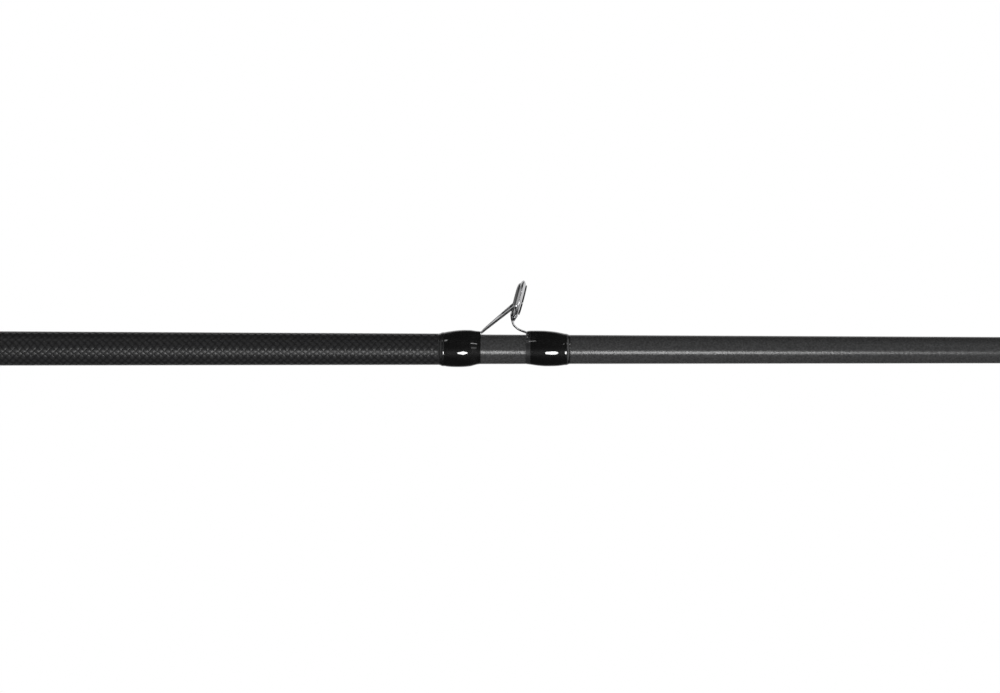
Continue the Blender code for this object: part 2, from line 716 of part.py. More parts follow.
def build_reel_seat(hood, nut):
    thread_start = SEAT_START + THREAD_LEAD_IN
    thread_end = thread_start + THREAD_PITCH * (THREAD_TURNS + 0.2)
    barrel_end = thread_start + THREAD_PITCH * (THREAD_TURNS - 1.4)
    core_radius = (SEAT_BORE_RADIUS + THREAD_ROOT) / 2
    core = [
        (SEAT_START + 1.0, core_radius),
        (barrel_end, core_radius),
        (barrel_end, BARREL_RADIUS),
        (SADDLE_START, BARREL_RADIUS),
        (SADDLE_START + 0.8, SADDLE_RADIUS - 0.3),
        (SADDLE_START + 3.0, SADDLE_RADIUS),
        ((SADDLE_START + SADDLE_END) / 2, SADDLE_RADIUS + 0.4),
        (SADDLE_END - 3.0, SADDLE_RADIUS),
        (SADDLE_END, SADDLE_RADIUS - 0.2),
        (SADDLE_END, BARREL_RADIUS),
        (SEAT_END, BARREL_RADIUS),
    ]
    flanks = (0.16, 0.34, 0.66, 0.84)
    thread = threaded_rod(thread_start, THREAD_TURNS, (THREAD_ROOT, THREAD_CREST), flanks, thread_end)
    bore = turned([(SEAT_START - 2, SEAT_BORE_RADIUS), (SEAT_END + 2, SEAT_BORE_RADIUS)], ring=False)
    land = block((SADDLE_START - 1, -20, LAND_HEIGHT), (SADDLE_END + 0.1, 20, 20))
    keyway = block(
        (SEAT_START - 1, -KEYWAY_HALF_WIDTH, -20),
        (SADDLE_START - 0.4, KEYWAY_HALF_WIDTH, -KEYWAY_FLOOR),
    )
    add_part(
        "reel_seat",
        turned(core, ring=False),
        "plastic",
        (SEAT_START, 0, 0),
        joins=[thread],
        cuts=[bore, land, keyway],
    )

    for name, start in (("rear_seat_arbor", SEAT_START + 8), ("front_seat_arbor", SEAT_END - 32)):
        sleeve = [(start, SEAT_BORE_RADIUS - BORE_GAP), (start + 24, SEAT_BORE_RADIUS - BORE_GAP)]
        add_part(name, on_butt(sleeve), "arbor", (start, 0, 0))

    shell, liner = hood_pieces(HOOD_START + HOOD_LENGTH, HOOD_START)
    key = block(
        (HOOD_START + 0.5, -KEY_HALF_WIDTH, -HOOD_BORE - 0.4),
        (HOOD_START + HOOD_LENGTH - 0.5, KEY_HALF_WIDTH, -KEYWAY_FLOOR - 0.3),
    )
    centre = (HOOD_START, 0, 0)
    add_part("sliding_hood", shell, "steel", centre, hood)
    add_part("sliding_hood_liner", liner, "plastic", centre, hood, joins=[key])

    shell, liner = hood_pieces(FIXED_HOOD_START, SEAT_END)
    centre = (FIXED_HOOD_START, 0, 0)
    add_part("fixed_hood", shell, "steel", centre)
    add_part("fixed_hood_liner", liner, "plastic", centre)

    ends = ((0, 1.0), (1.0, 0.0), (NUT_LENGTH - 1.0, 0.0), (NUT_LENGTH, 1.0))
    sections = []
    for depth, less in ends:
        points = []
        for k in range(2 * NUT_FLUTES):
            angle = math.pi * k / NUT_FLUTES
            radius = NUT_RADIUS - less - (0.7 if k % 2 else 0)
            points.append((NUT_START + depth, radius * math.cos(angle), radius * math.sin(angle)))
        sections.append(points)
    phase_start = thread_start - 3 * THREAD_PITCH
    tap_turns = 11
    tap = threaded_rod(
        phase_start,
        tap_turns,
        (THREAD_ROOT + THREAD_CLEARANCE, THREAD_CREST + THREAD_CLEARANCE),
        (0.10, 0.28, 0.72, 0.90),
        phase_start + THREAD_PITCH * (tap_turns + 0.2),
    )
    add_part("lock_nut", skin(sections), "aluminium", (NUT_START, 0, 0), nut, cuts=[tap])


# ---------------------------------------------------------------- hook keeper and ferrule trim


def build_keeper(folding):
    """A strip bound down at both ends, with two ears that hold a folding wire ring."""
    half = KEEPER_PLATE_HALF

    def line(at):
        return butt_radius(at) + FOOT_GAP + KEEPER_SHEET / 2

    ground = line(KEEPER_X)
    path = (
        (KEEPER_X - half, 0, line(KEEPER_X - half)),
        (KEEPER_X - 4.2, 0, line(KEEPER_X - 4.2)),
        (KEEPER_X - 2.6, 0, ground + 0.5),
        (KEEPER_X + 2.6, 0, ground + 0.5),
        (KEEPER_X + 4.2, 0, line(KEEPER_X + 4.2)),
        (KEEPER_X + half, 0, line(KEEPER_X + half)),
    )
    plate = strip(path, (0.8, 1.3, 2.4, 2.4, 1.3, 0.8), [KEEPER_SHEET] * 6)
    pivot = ground + KEEPER_PIVOT_RISE
    ears = []
    holes = []
    for side in (-1, 1):
        inner, outer = side * KEEPER_EAR_Y - 0.25, side * KEEPER_EAR_Y + 0.25
        profile = [(-1.1, ground + 0.45), (1.1, ground + 0.45), (0.85, pivot + 0.6), (-0.85, pivot + 0.6)]
        sections = [[(KEEPER_X + x, y, z) for x, z in profile] for y in (inner, outer)]
        ears.append(skin(sections))
        turn = Matrix.Translation((KEEPER_X, side * KEEPER_EAR_Y, pivot))
        turn = turn @ Matrix.Rotation(math.radians(90), 4, "Z")
        drill = turned([(-1, KEEPER_HOLE_RADIUS), (1, KEEPER_HOLE_RADIUS)], 12, ring=False)
        holes.append(moved(drill, turn))
    add_part("keeper_base", plate, "steel", (KEEPER_X, 0, ground), joins=ears, cuts=holes)

    reach, half_width = 8.0, 3.3
    loop = [(0, -half_width), (0, -1.2), (0, 1.2), (0, half_width)]
    loop += [(0.5, half_width + 0.45), (1.6, half_width + 0.6)]
    for turn in range(60, -61, -20):
        a = math.radians(turn)
        loop.append((reach - 3.9 + 3.9 * math.cos(a), 3.9 * math.sin(a)))
    loop += [(1.6, -half_width - 0.6), (0.5, -half_width - 0.45)]
    path = [(KEEPER_X + x, y, pivot) for x, y in loop]
    ring = wire(path, KEEPER_WIRE_RADIUS)
    add_part("keeper_ring", ring, "steel", (KEEPER_X, 0, pivot), folding)

    inner = half - 4.2
    for name, mouth, away in (("rear", KEEPER_X - 4.6, -1), ("front", KEEPER_X + 4.6, 1)):
        foot_end = mouth + away * (inner - 0.4)
        foot = (mouth, foot_end, KEEPER_SHEET)
        ends = sorted((mouth, foot_end + away * 2.0))
        wrap = binding(*ends, butt_radius, 0.5, foot)
        add_part(f"keeper_{name}_binding", wrap, "thread", (ends[0], 0, 0))
    return pivot


def build_ferrule_bindings(tip):
    start = FERRULE_START - 22.0
    wrap = binding(start, FERRULE_START - SEAM, butt_radius, 0.45)
    add_part("ferrule_male_binding", wrap, "thread", (start, 0, 0))
    wrap = binding(FERRULE_START, FERRULE_START + 24.0, tip_radius, 0.45)
    add_part("ferrule_female_binding", wrap, "thread", (FERRULE_START, 0, 0), tip)


def main():
    for thing in list(bpy.data.objects):
        bpy.data.objects.remove(thing, do_unlink=True)
    tip = add_empty("tip_section_slide", (FERRULE_START, 0, 0))
    hood = add_empty("hood_slide", (HOOD_START, 0, 0))
    nut = add_empty("nut_turn", (NUT_START, 0, 0))
    pivot = butt_radius(KEEPER_X) + FOOT_GAP + KEEPER_SHEET / 2 + KEEPER_PIVOT_RISE
    folding = add_empty("keeper_fold", (KEEPER_X, 0, pivot))
    build_blanks(tip)
    build_grips()
    build_reel_seat(hood, nut)
    build_keeper(folding)
    build_ferrule_bindings(tip)
    build_guides(tip)
    build_tip_top(tip)


main()
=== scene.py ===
"""Looks for the two-piece spinning rod: detailed pieces, materials, light and camera.

All lengths here are millimetres in the CAD's own frame; mesh_piece() turns them into metres.
The rod lies along +X from the butt to the tip, and its guides are on the +Z side.
"""

import math

import bmesh
import bpy
from mathutils import Matrix, Vector


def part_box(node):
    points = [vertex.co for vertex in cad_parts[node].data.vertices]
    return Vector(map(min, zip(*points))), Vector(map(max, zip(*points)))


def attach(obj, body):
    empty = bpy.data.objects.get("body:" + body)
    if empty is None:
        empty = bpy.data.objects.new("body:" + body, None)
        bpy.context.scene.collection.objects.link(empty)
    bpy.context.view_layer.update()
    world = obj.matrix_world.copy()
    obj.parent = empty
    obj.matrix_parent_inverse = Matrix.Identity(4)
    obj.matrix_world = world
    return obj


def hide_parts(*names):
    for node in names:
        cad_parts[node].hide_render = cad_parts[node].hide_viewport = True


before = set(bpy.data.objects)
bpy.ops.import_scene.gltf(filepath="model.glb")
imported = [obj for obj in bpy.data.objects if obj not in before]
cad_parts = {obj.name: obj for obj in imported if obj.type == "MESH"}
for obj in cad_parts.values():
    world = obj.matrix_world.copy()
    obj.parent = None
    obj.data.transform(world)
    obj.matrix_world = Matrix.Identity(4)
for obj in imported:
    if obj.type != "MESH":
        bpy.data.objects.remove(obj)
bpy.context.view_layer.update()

MM = 0.001
TAU = 2 * math.pi
HANDLE, TIP = "handle_section", "tip_section"

# Blank
SOCKET_END = 1095.0
CLEAR_COAT = 0.05
WEAVE_END = 1269.4
WEAVE_PITCH = 1.6
BUTT_WEAVE_TURNS = 20
TIP_WEAVE_TURNS = 14
ROD_SIDES = 96

# Guides: name, x, collar radius, rise over the blank, sheet, rear foot, front foot, cover
TILT = 14.7
GUIDES = [
    ("guide_1", 880.0, 13.6, 27.0, 0.8, 15.0, 14.0, 0.6),
    ("guide_2", 1120.0, 7.1, 13.2, 0.55, 10.0, 9.5, 0.55),
    ("guide_3", 1280.0, 4.32, 7.77, 0.4, 7.0, 6.6, 0.52),
]
for number, runner_x in enumerate((1430.0, 1570.0, 1700.0, 1820.0, 1930.0, 2035.0)):
    GUIDES.append(
        (f"guide_{number + 4}", runner_x, 3.3, 6.0 - 0.12 * number, 0.35, 6.0, 0.0, 0.42 - 0.03 * number)
    )
MAIN_GUIDE_X = 1280.0
MAIN_RISE = 7.77
MAIN_COLLAR = 4.32
RING_LIFT = 1.03
TIP_TOP_X, TIP_TOP_Z = 2131.6, 2.5
TRIM_RAISE = 0.09

# Reel seat
SEAT_BORE = 7.6
THREAD_START, THREAD_PITCH, THREAD_TURNS = 300.4, 3.0, 11.6
THREAD_ROOT, THREAD_CREST = 9.5, 10.4
BARREL_RADIUS = 10.45
SADDLE_START, SADDLE_END, SADDLE_RADIUS = 352.0, 384.0, 12.4
LAND_HEIGHT = 10.6
KEYWAY_HALF_WIDTH, KEYWAY_FLOOR = 1.7, 8.9
HOOD_LENGTH, HOOD_BORE = 19.0, 10.7
HOOD_START, FIXED_HOOD_START = 314.3, 384.3
LINER_WALL, SHELL_WALL = 0.9, 0.9
POCKET_HALF_WIDTH, POCKET_MOUTH, POCKET_END, POCKET_DEPTH = 7.0, 16.2, 13.2, 14.0
NUT_START, NUT_LENGTH, NUT_RADIUS, NUT_FLUTES = 302.0, 12.0, 13.4, 14

# Hook keeper
KEEPER_X, KEEPER_SHEET, KEEPER_EAR_Y = 512.0, 0.5, 2.1

# Camera and light
VIEW_X, VIEW_Z = 1275.8, 0.63
CAMERA_DISTANCE, CAMERA_ELEVATION, CAMERA_ROLL, CAMERA_LENS = 617.3, 7.0, 0.1, 100.0
KEY_DISTANCE, SIDE_DISTANCE = 1200, 1100
FLOOR_DEPTH, FLOOR_GLOW = -0.66, 0.74


# ---------------------------------------------------------------- shapes


def mix(a, b, share):
    return a + (b - a) * share


def between(x, points):
    """Straight-line value at x in a rising table of (x, value) pairs."""
    if x <= points[0][0]:
        return points[0][1]
    for (x0, v0), (x1, v1) in zip(points, points[1:]):
        if x <= x1:
            return mix(v0, v1, (x - x0) / (x1 - x0))
    return points[-1][1]


def eased(x, points):
    """Smooth value at x in a rising table, with no overshoot between its points."""
    slopes = [(v1 - v0) / (x1 - x0) for (x0, v0), (x1, v1) in zip(points, points[1:])]
    tangents = [slopes[0]]
    for a, b in zip(slopes, slopes[1:]):
        tangents.append(2 * a * b / (a + b) if a * b > 0 else 0.0)
    tangents.append(slopes[-1])
    x = min(max(x, points[0][0]), points[-1][0])
    for i, ((x0, v0), (x1, v1)) in enumerate(zip(points, points[1:])):
        if x <= x1:
            h = x1 - x0
            t = (x - x0) / h
            rise = h * (tangents[i] * t * (1 - t) ** 2 - tangents[i + 1] * t * t * (1 - t))
            return v0 + (v1 - v0) * t * t * (3 - 2 * t) + rise
    return points[-1][1]


def soft_step(x, low, high):
    t = min(max((x - low) / (high - low), 0.0), 1.0)
    return t * t * (3 - 2 * t)


def spaced(start, end, step):
    count = max(1, math.ceil((end - start) / step))
    return [start + (end - start) * k / count for k in range(count + 1)]


def skin(sections, loop=False):
    """Quads between sections of equal point counts: a ring, or a tube with flat ends."""
    count = len(sections[0])
    verts = [tuple(point) for section in sections for point in section]
    faces = []
    for i in range(len(sections) if loop else len(sections) - 1):
        here, there = i * count, (i + 1) % len(sections) * count
        for k in range(count):
            after = (k + 1) % count
            faces.append((here + k, here + after, there + after, there + k))
    if not loop:
        faces.append(tuple(range(count)))
        faces.append(tuple(range(len(verts) - count, len(verts))))
    return verts, faces


def sleeve(stations, outer, inner, sides=ROD_SIDES, bore_stations=None):
    """A tube round the rod's axis; outer and inner give a radius for (x, angle from +Z)."""
    bore_stations = bore_stations or [stations[0], stations[-1]]
    sections = []
    for places, radius in ((stations, outer), (bore_stations[::-1], inner)):
        for x in places:
            ring = []
            for k in range(sides):
                a = TAU * k / sides
                r = radius(x, a)
                ring.append((x, -r * math.sin(a), r * math.cos(a)))
            sections.append(ring)
    return skin(sections, loop=True)


def turned(profile, sides=ROD_SIDES, loop=True):
    """A profile of (x, radius) points turned about the rod's axis."""
    sections = []
    for x, r in profile:
        turn = [TAU * k / sides for k in range(sides)]
        sections.append([(x, r * math.cos(a), r * math.sin(a)) for a in turn])
    return skin(sections, loop)


def spline(points, steps, loop=False):
    """Points of a Catmull-Rom curve through the given points."""
    count = len(points)
    out = []
    for i in range(count if loop else count - 1):
        if loop:
            quad = [Vector(points[(i + k) % count]) for k in (-1, 0, 1, 2)]
        else:
            quad = [Vector(points[min(max(i + k, 0), count - 1)]) for k in (-1, 0, 1, 2)]
        p0, p1, p2, p3 = quad
        for step in range(steps):
            t = step / steps
            out.append(
                0.5
                * (
                    2 * p1
                    + (p2 - p0) * t
                    + (2 * p0 - 5 * p1 + 4 * p2 - p3) * t * t
                    + (3 * p1 - p0 - 3 * p2 + p3) * t**3
                )
            )
    if not loop:
        out.append(Vector(points[-1]))
    return out


def strip_corners(wide, thick):
    """A rectangle with small 45 degree chamfers."""
    cut = 0.22 * min(wide, thick)
    quarter = ((wide, thick - cut), (wide - cut, thick))
    signs = ((1, 1), (-1, 1), (-1, -1), (1, -1))
    return [(su * u, sv * v) for su, sv in signs for u, v in (quarter if su * sv > 0 else quarter[::-1])]


def tapered_corners(wide, thick):
    """A strip that is narrower on its upper side."""
    lean = 0.2 * min(thick / wide, 1)
    return [(u * (1 - lean * (1 + v / thick)), v) for u, v in strip_corners(wide, thick)]


def round_corners(wide, thick):
    return [(wide * math.cos(TAU * k / 16), thick * math.sin(TAU * k / 16)) for k in range(16)]


def ribbon(rows, steps=6, corners=strip_corners, side=(0, 1, 0), loop=False):
    """A strip swept along a curve; each row is (x, y, z, half width, half thickness)."""
    path = spline([row[:3] for row in rows], steps, loop)
    sizes = spline([(row[3], row[4], 0) for row in rows], steps, loop)
    count = len(path)
    sections = []
    for i, here in enumerate(path):
        after = path[(i + 1) % count] if loop else path[min(i + 1, count - 1)]
        before = path[i - 1] if loop or i else path[0]
        along = (after - before).normalized()
        across = Vector(side)
        across = (across - along * across.dot(along)).normalized()
        up = along.cross(across)
        sections.append([here + across * u + up * v for u, v in corners(sizes[i][0], sizes[i][1])])
    if not loop:
        for end, inward in ((0, 1), (-1, -2)):
            out = (path[end] - path[inward]).normalized() * sizes[end][1]
            blunt = [path[end] + (point - path[end]) * 0.6 + out * 0.6 for point in sections[end]]
            sections.insert(0 if end == 0 else len(sections), blunt)
    return skin(sections, loop)


def moved(shape, matrix):
    verts, faces = shape
    return [tuple(matrix @ Vector(v)) for v in verts], faces


def joined(*shapes):
    verts, faces = [], []
    for more_verts, more_faces in shapes:
        base = len(verts)
        verts += more_verts
        faces += [tuple(base + k for k in face) for face in more_faces]
    return verts, faces


def mesh_piece(name, shape, materials, body, nodes, slot, sharp=40, choose=None):
    """A smooth-shaded piece that stands for CAD nodes; choose(x) picks a face's material."""
    verts, faces = shape
    mesh = bpy.data.meshes.new(name)
    mesh.from_pydata([Vector(v) * MM for v in verts], [], faces)
    work = bmesh.new()
    work.from_mesh(mesh)
    bmesh.ops.remove_doubles(work, verts=work.verts, dist=1e-7)
    bmesh.ops.recalc_face_normals(work, faces=work.faces)
    work.to_mesh(mesh)
    work.free()
    mesh.polygons.foreach_set("use_smooth", [True] * len(mesh.polygons))
    mesh.set_sharp_from_angle(angle=math.radians(sharp))
    for material in materials:
        mesh.materials.append(material)
    if choose:
        for polygon in mesh.polygons:
            polygon.material_index = choose(polygon.center.x / MM)
    thing = bpy.data.objects.new(name, mesh)
    bpy.context.scene.collection.objects.link(thing)
    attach(thing, body)
    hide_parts(*nodes)
    return thing


def outline(node):
    """(x, radius) of a turned CAD node's outside, from its corners."""
    widest = {}
    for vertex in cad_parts[node].data.vertices:
        x, y, z = (c / MM for c in vertex.co)
        key = round(x, 2)
        widest[key] = max(widest.get(key, 0.0), math.hypot(y, z))
    return sorted(widest.items())


BUTT_OUTLINE = outline("butt_blank")
TIP_OUTLINE = [row for row in outline("tip_blank") if abs(row[0] - SOCKET_END) > 1]
BLANK_END = TIP_OUTLINE[-1][0]


def butt_radius(x):
    return between(x, BUTT_OUTLINE)


def tip_radius(x):
    return between(x, TIP_OUTLINE)


# ---------------------------------------------------------------- materials


class Graph:
    """A material's node tree, with short calls for the usual nodes."""

    def __init__(self, name, **values):
        self.material = bpy.data.materials.new(name)
        self.material.use_nodes = True
        self.tree = self.material.node_tree
        self.shader = self.tree.nodes["Principled BSDF"]
        for key, value in values.items():
            socket = self.shader.inputs[key.replace("_", " ").title().replace("Ior", "IOR")]
            socket.default_value = (*value, 1) if isinstance(value, tuple) else value
        self.place = self.add("ShaderNodeTexCoord").outputs["Object"]

    def add(self, kind, **settings):
        node = self.tree.nodes.new(kind)
        for key, value in settings.items():
            setattr(node, key, value)
        return node

    def feed(self, socket, value):
        if isinstance(value, bpy.types.NodeSocket):
            self.tree.links.new(value, socket)
        else:
            socket.default_value = value

    def math(self, operation, *values):
        node = self.add("ShaderNodeMath", operation=operation)
        for socket, value in zip(node.inputs, values):
            self.feed(socket, value)
        return node.outputs[0]

    def axes(self):
        node = self.add("ShaderNodeSeparateXYZ")
        self.feed(node.inputs[0], self.place)
        return [self.math("DIVIDE", axis, MM) for axis in node.outputs]

    def stretched(self, scale):
        node = self.add("ShaderNodeMapping")
        self.feed(node.inputs["Vector"], self.place)
        node.inputs["Scale"].default_value = scale
        return node.outputs[0]

    def noise(self, scale, detail=2.0, stretch=(1, 1, 1), roughness=0.5):
        """Noise with grains of about 1/scale millimetres."""
        node = self.add("ShaderNodeTexNoise")
        self.feed(node.inputs["Vector"], self.stretched([s / MM for s in stretch]))
        for key, value in (("Scale", scale), ("Detail", detail), ("Roughness", roughness)):
            node.inputs[key].default_value = value
        return node.outputs["Fac"]

    def cells(self, scale, feature="F1"):
        node = self.add("ShaderNodeTexVoronoi", feature=feature)
        self.feed(node.inputs["Vector"], self.stretched((1 / MM,) * 3))
        node.inputs["Scale"].default_value = scale
        return node.outputs["Distance"]

    def span(self, value, low, high, to_low, to_high):
        node = self.add("ShaderNodeMapRange")
        for socket, number in zip(node.inputs, (value, low, high, to_low, to_high)):
            self.feed(socket, number)
        return node.outputs["Result"]

    def tint(self, factor, low, high):
        node = self.add("ShaderNodeMix", data_type="RGBA")
        self.feed(node.inputs["Factor"], factor)
        node.inputs["A"].default_value = (*low, 1)
        node.inputs["B"].default_value = (*high, 1)
        self.feed(self.shader.inputs["Base Color"], node.outputs["Result"])

    def rough(self, value):
        self.feed(self.shader.inputs["Roughness"], value)

    def bump(self, height, depth, strength=1.0):
        """Relief of the given height field, depth millimetres from 0 to 1."""
        node = self.add("ShaderNodeBump")
        node.inputs["Strength"].default_value = strength
        node.inputs["Distance"].default_value = depth * MM
        self.feed(node.inputs["Height"], height)
        self.feed(self.shader.inputs["Normal"], node.outputs["Normal"])


def woven_carbon(name, turns):
    """Plain-weave cloth laid at 45 degrees, its tows crowned, under a thin satin coat. Its colour carries
    painted shade: darker in the dips between tows, lighter on their crowns, with a random tone.
    """
    g = Graph(name, specular_ior_level=0.17, coat_weight=0.08, coat_roughness=0.3)
    x, y, z = g.axes()
    around = g.math("MULTIPLY", g.math("ARCTAN2", z, y), turns / TAU)
    along = g.math("DIVIDE", x, WEAVE_PITCH)
    u = g.math("ADD", along, around)
    v = g.math("SUBTRACT", along, around)
    cell_u, cell_v = g.math("FLOOR", u), g.math("FLOOR", v)
    odd = g.math("MODULO", g.math("ABSOLUTE", g.math("ADD", cell_u, cell_v)), 2.0)
    arch_u = g.math("SINE", g.math("MULTIPLY", g.math("FRACT", u), math.pi))
    arch_v = g.math("SINE", g.math("MULTIPLY", g.math("FRACT", v), math.pi))
    even = g.math("SUBTRACT", 1.0, odd)
    across = g.math("ADD", g.math("MULTIPLY", arch_u, even), g.math("MULTIPLY", arch_v, odd))
    lengthwise = g.math("ADD", g.math("MULTIPLY", arch_v, even), g.math("MULTIPLY", arch_u, odd))
    crown = g.math("MULTIPLY", g.math("POWER", across, 0.5), g.math("POWER", lengthwise, 0.8))
    grain = g.noise(3.5, 3.0)
    height = g.math("ADD", crown, g.math("MULTIPLY", grain, 0.35))
    g.bump(height, 0.07)
    # painted shade: the colour is darker in the dips between tows and lighter on their crowns, times a random
    # tone from the noise
    shade = g.math("MULTIPLY", crown, g.span(g.noise(0.7), 0.3, 0.7, 0.7, 1.0))
    g.tint(shade, (0.012, 0.012, 0.0125), (0.036, 0.036, 0.037))
    g.rough(g.span(grain, 0.3, 0.7, 0.27, 0.36))
    return g.material


def plain_carbon(name):
    """Sanded unidirectional carbon: faint turned rings, fine sparkle, satin."""
    g = Graph(name, specular_ior_level=0.2, coat_weight=0.07, coat_roughness=0.2)
    x, y, z = g.axes()
    rings = g.math("SINE", g.math("MULTIPLY", x, TAU / 1.03))
    wander = g.noise(0.9, 3.0, (1, 0.35, 0.35))
    sparkle = g.noise(2.2, 4.0)
    ripple = g.math("MULTIPLY", rings, g.math("MULTIPLY", wander, 0.12))
    height = g.math("ADD", ripple, g.math("MULTIPLY", sparkle, 0.8))
    g.bump(height, 0.035)
    g.tint(g.span(sparkle, 0.25, 0.75, 0, 1), (0.034, 0.034, 0.0345), (0.076, 0.076, 0.077))
    g.rough(g.span(wander, 0.3, 0.7, 0.2, 0.28))
    return g.material


def bound_thread(name, low, high, metallic=0.0, pitch=0.16, depth=0.006):
    """Turns of thread seen through a smooth gloss coat of epoxy."""
    g = Graph(name, metallic=metallic, specular_ior_level=0.1, coat_weight=1.0, coat_roughness=0.02)
    x, y, z = g.axes()
    turns = g.math("SINE", g.math("MULTIPLY", x, TAU / pitch))
    fibre = g.noise(5.0, 2.0, (1, 0.2, 0.2))
    g.bump(g.math("ADD", turns, fibre), depth)
    g.tint(fibre, low, high)
    g.rough(g.span(fibre, 0.3, 0.7, 0.35, 0.5))
    return g.material


def clear_edge(name):
    """Epoxy that runs past the thread on to the blank, with painted shade that makes its top darker."""
    g = Graph(name, coat_weight=1.0, coat_roughness=0.04)
    cloud = g.noise(1.5, 2.0)
    # painted shade: the colour goes from grey below 2.0 mm height to near black above 3.2 mm, darkening the
    # top
    g.tint(g.span(g.axes()[2], 2.0, 3.2, 1, 0), (0.003, 0.003, 0.003), (0.022, 0.022, 0.023))
    g.rough(g.span(cloud, 0.3, 0.7, 0.3, 0.45))
    return g.material


def metal(name, low, high, rough_low, rough_high, grain=(1, 1, 1), scale=2.0, depth=0.004, **more):
    """Metal with fine tool or polishing marks drawn out along the grain."""
    g = Graph(name, metallic=1.0, **more)
    marks = g.noise(scale, 3.0, grain)
    g.tint(marks, low, high)
    g.rough(g.span(marks, 0.3, 0.7, rough_low, rough_high))
    g.bump(marks, depth)
    return g.material


def ceramic(name):
    g = Graph(name, ior=2.0)
    cloud = g.noise(1.2, 2.0)
    g.tint(cloud, (0.006, 0.006, 0.0065), (0.012, 0.012, 0.013))
    g.rough(g.span(cloud, 0.3, 0.7, 0.05, 0.11))
    return g.material


def foam(name):
    """Closed-cell foam: skin of tiny cells with a mottled, matt black colour."""
    g = Graph(name, sheen_weight=0.25, sheen_roughness=0.6)
    cell = g.cells(2.6)
    fine = g.noise(6.0, 3.0)
    g.bump(g.math("ADD", cell, g.math("MULTIPLY", fine, 0.5)), 0.12, 0.8)
    g.tint(g.span(g.noise(0.35, 4.0), 0.3, 0.7, 0, 1), (0.014, 0.014, 0.015), (0.028, 0.028, 0.029))
    g.rough(g.span(fine, 0.3, 0.7, 0.72, 0.92))
    return g.material


def moulded(name, low, high, rough_low, rough_high, scale=4.0, depth=0.02, **more):
    """Moulded rubber or plastic with a fine grained surface."""
    g = Graph(name, **more)
    grain = g.noise(scale, 3.0)
    cloud = g.noise(0.4, 2.0)
    g.bump(grain, depth)
    g.tint(cloud, low, high)
    g.rough(g.span(grain, 0.3, 0.7, rough_low, rough_high))
    return g.material


M = {
    "butt": woven_carbon("carbon_weave_butt", BUTT_WEAVE_TURNS),
    "weave": woven_carbon("carbon_weave_tip", TIP_WEAVE_TURNS),
    "plain": plain_carbon("carbon_plain"),
    "thread": bound_thread("thread_black", (0.002, 0.002, 0.002), (0.006, 0.006, 0.006)),
    "trim": bound_thread("thread_silver", (0.012, 0.012, 0.012), (0.05, 0.05, 0.051), 0.9, 0.5, 0.025),
    "edge": clear_edge("epoxy_edge"),
    "steel": metal("steel_polished", (0.5, 0.5, 0.51), (0.66, 0.66, 0.67), 0.18, 0.27, (0.5, 1, 0.25)),
    "ceramic": ceramic("ceramic_dark"),
    "foam": foam("foam_black"),
    "rubber": moulded("rubber_black", (0.012, 0.012, 0.012), (0.02, 0.02, 0.02), 0.5, 0.65, 3.0, 0.05),
    "gunmetal": metal(
        "anodised_gunmetal", (0.1, 0.1, 0.105), (0.17, 0.17, 0.175), 0.2, 0.34, (6, 0.2, 0.2), 1.0, 0.01
    ),
    "seat": moulded("composite_black", (0.01, 0.01, 0.01), (0.018, 0.018, 0.018), 0.28, 0.42, 6.0, 0.01),
    "brushed": metal(
        "steel_brushed", (0.36, 0.36, 0.37), (0.48, 0.48, 0.49), 0.26, 0.36, (0.08, 4, 4), 3.0, 0.004
    ),
    "liner": moulded("liner_black", (0.014, 0.014, 0.014), (0.024, 0.024, 0.024), 0.5, 0.7),
    "arbor": moulded("arbor_foam", (0.2, 0.19, 0.16), (0.3, 0.28, 0.24), 0.85, 0.95, 3.0, 0.1),
}


# ---------------------------------------------------------------- blank and bindings


def build_blanks():
    for name, table, body, finishes in (
        ("butt_blank", BUTT_OUTLINE, HANDLE, [M["butt"]]),
        ("tip_blank", TIP_OUTLINE, TIP, [M["weave"], M["plain"]]),
    ):
        wall = 1.1 if name == "butt_blank" else 0.47
        radius = butt_radius if name == "butt_blank" else tip_radius
        places = [x for x, _ in table]
        coat = 0.0 if name == "butt_blank" else CLEAR_COAT
        profile = [(places[0], radius(places[0]) - 0.1), (places[0] + 0.15, radius(places[0]) + coat)]
        profile += [(x, radius(x) + coat) for x in places[1:-1]]
        profile += [(places[-1] - 0.1, radius(places[-1])), (places[-1], radius(places[-1]) - 0.1)]
        if name == "butt_blank":
            bore = [(x, radius(x) - wall) for x in (places[-1], places[0])]
        else:
            bore = [(places[-1], 0.45), (1400.0, radius(1400.0) - wall), (1095.2, radius(1095.2) - wall)]
            bore += [(1095.1, butt_radius(1095.0) + 0.06), (places[0], butt_radius(places[0]) + 0.06)]
        mesh_piece(
            f"{name}_tube", turned(profile + bore), finishes, body, [name], name, 30,
            choose=(lambda x: int(x > WEAVE_END + 0.6)) if len(finishes) > 1 else None,
        )


SWELL = [(0, 0), (0.06, 0.15), (0.155, 0.42), (0.3, 0.8), (0.45, 0.99), (0.55, 1.0), (0.64, 0.97),
         (0.76, 0.83), (0.88, 0.5), (0.95, 0.22), (1, 0)]
HUMP = [(0, 1), (0.06, 0.98), (0.16, 0.84), (0.29, 0.66), (0.5, 0.46), (0.68, 0.29), (0.85, 0.1), (1, 0)]
ROUND_OFF = 0.45


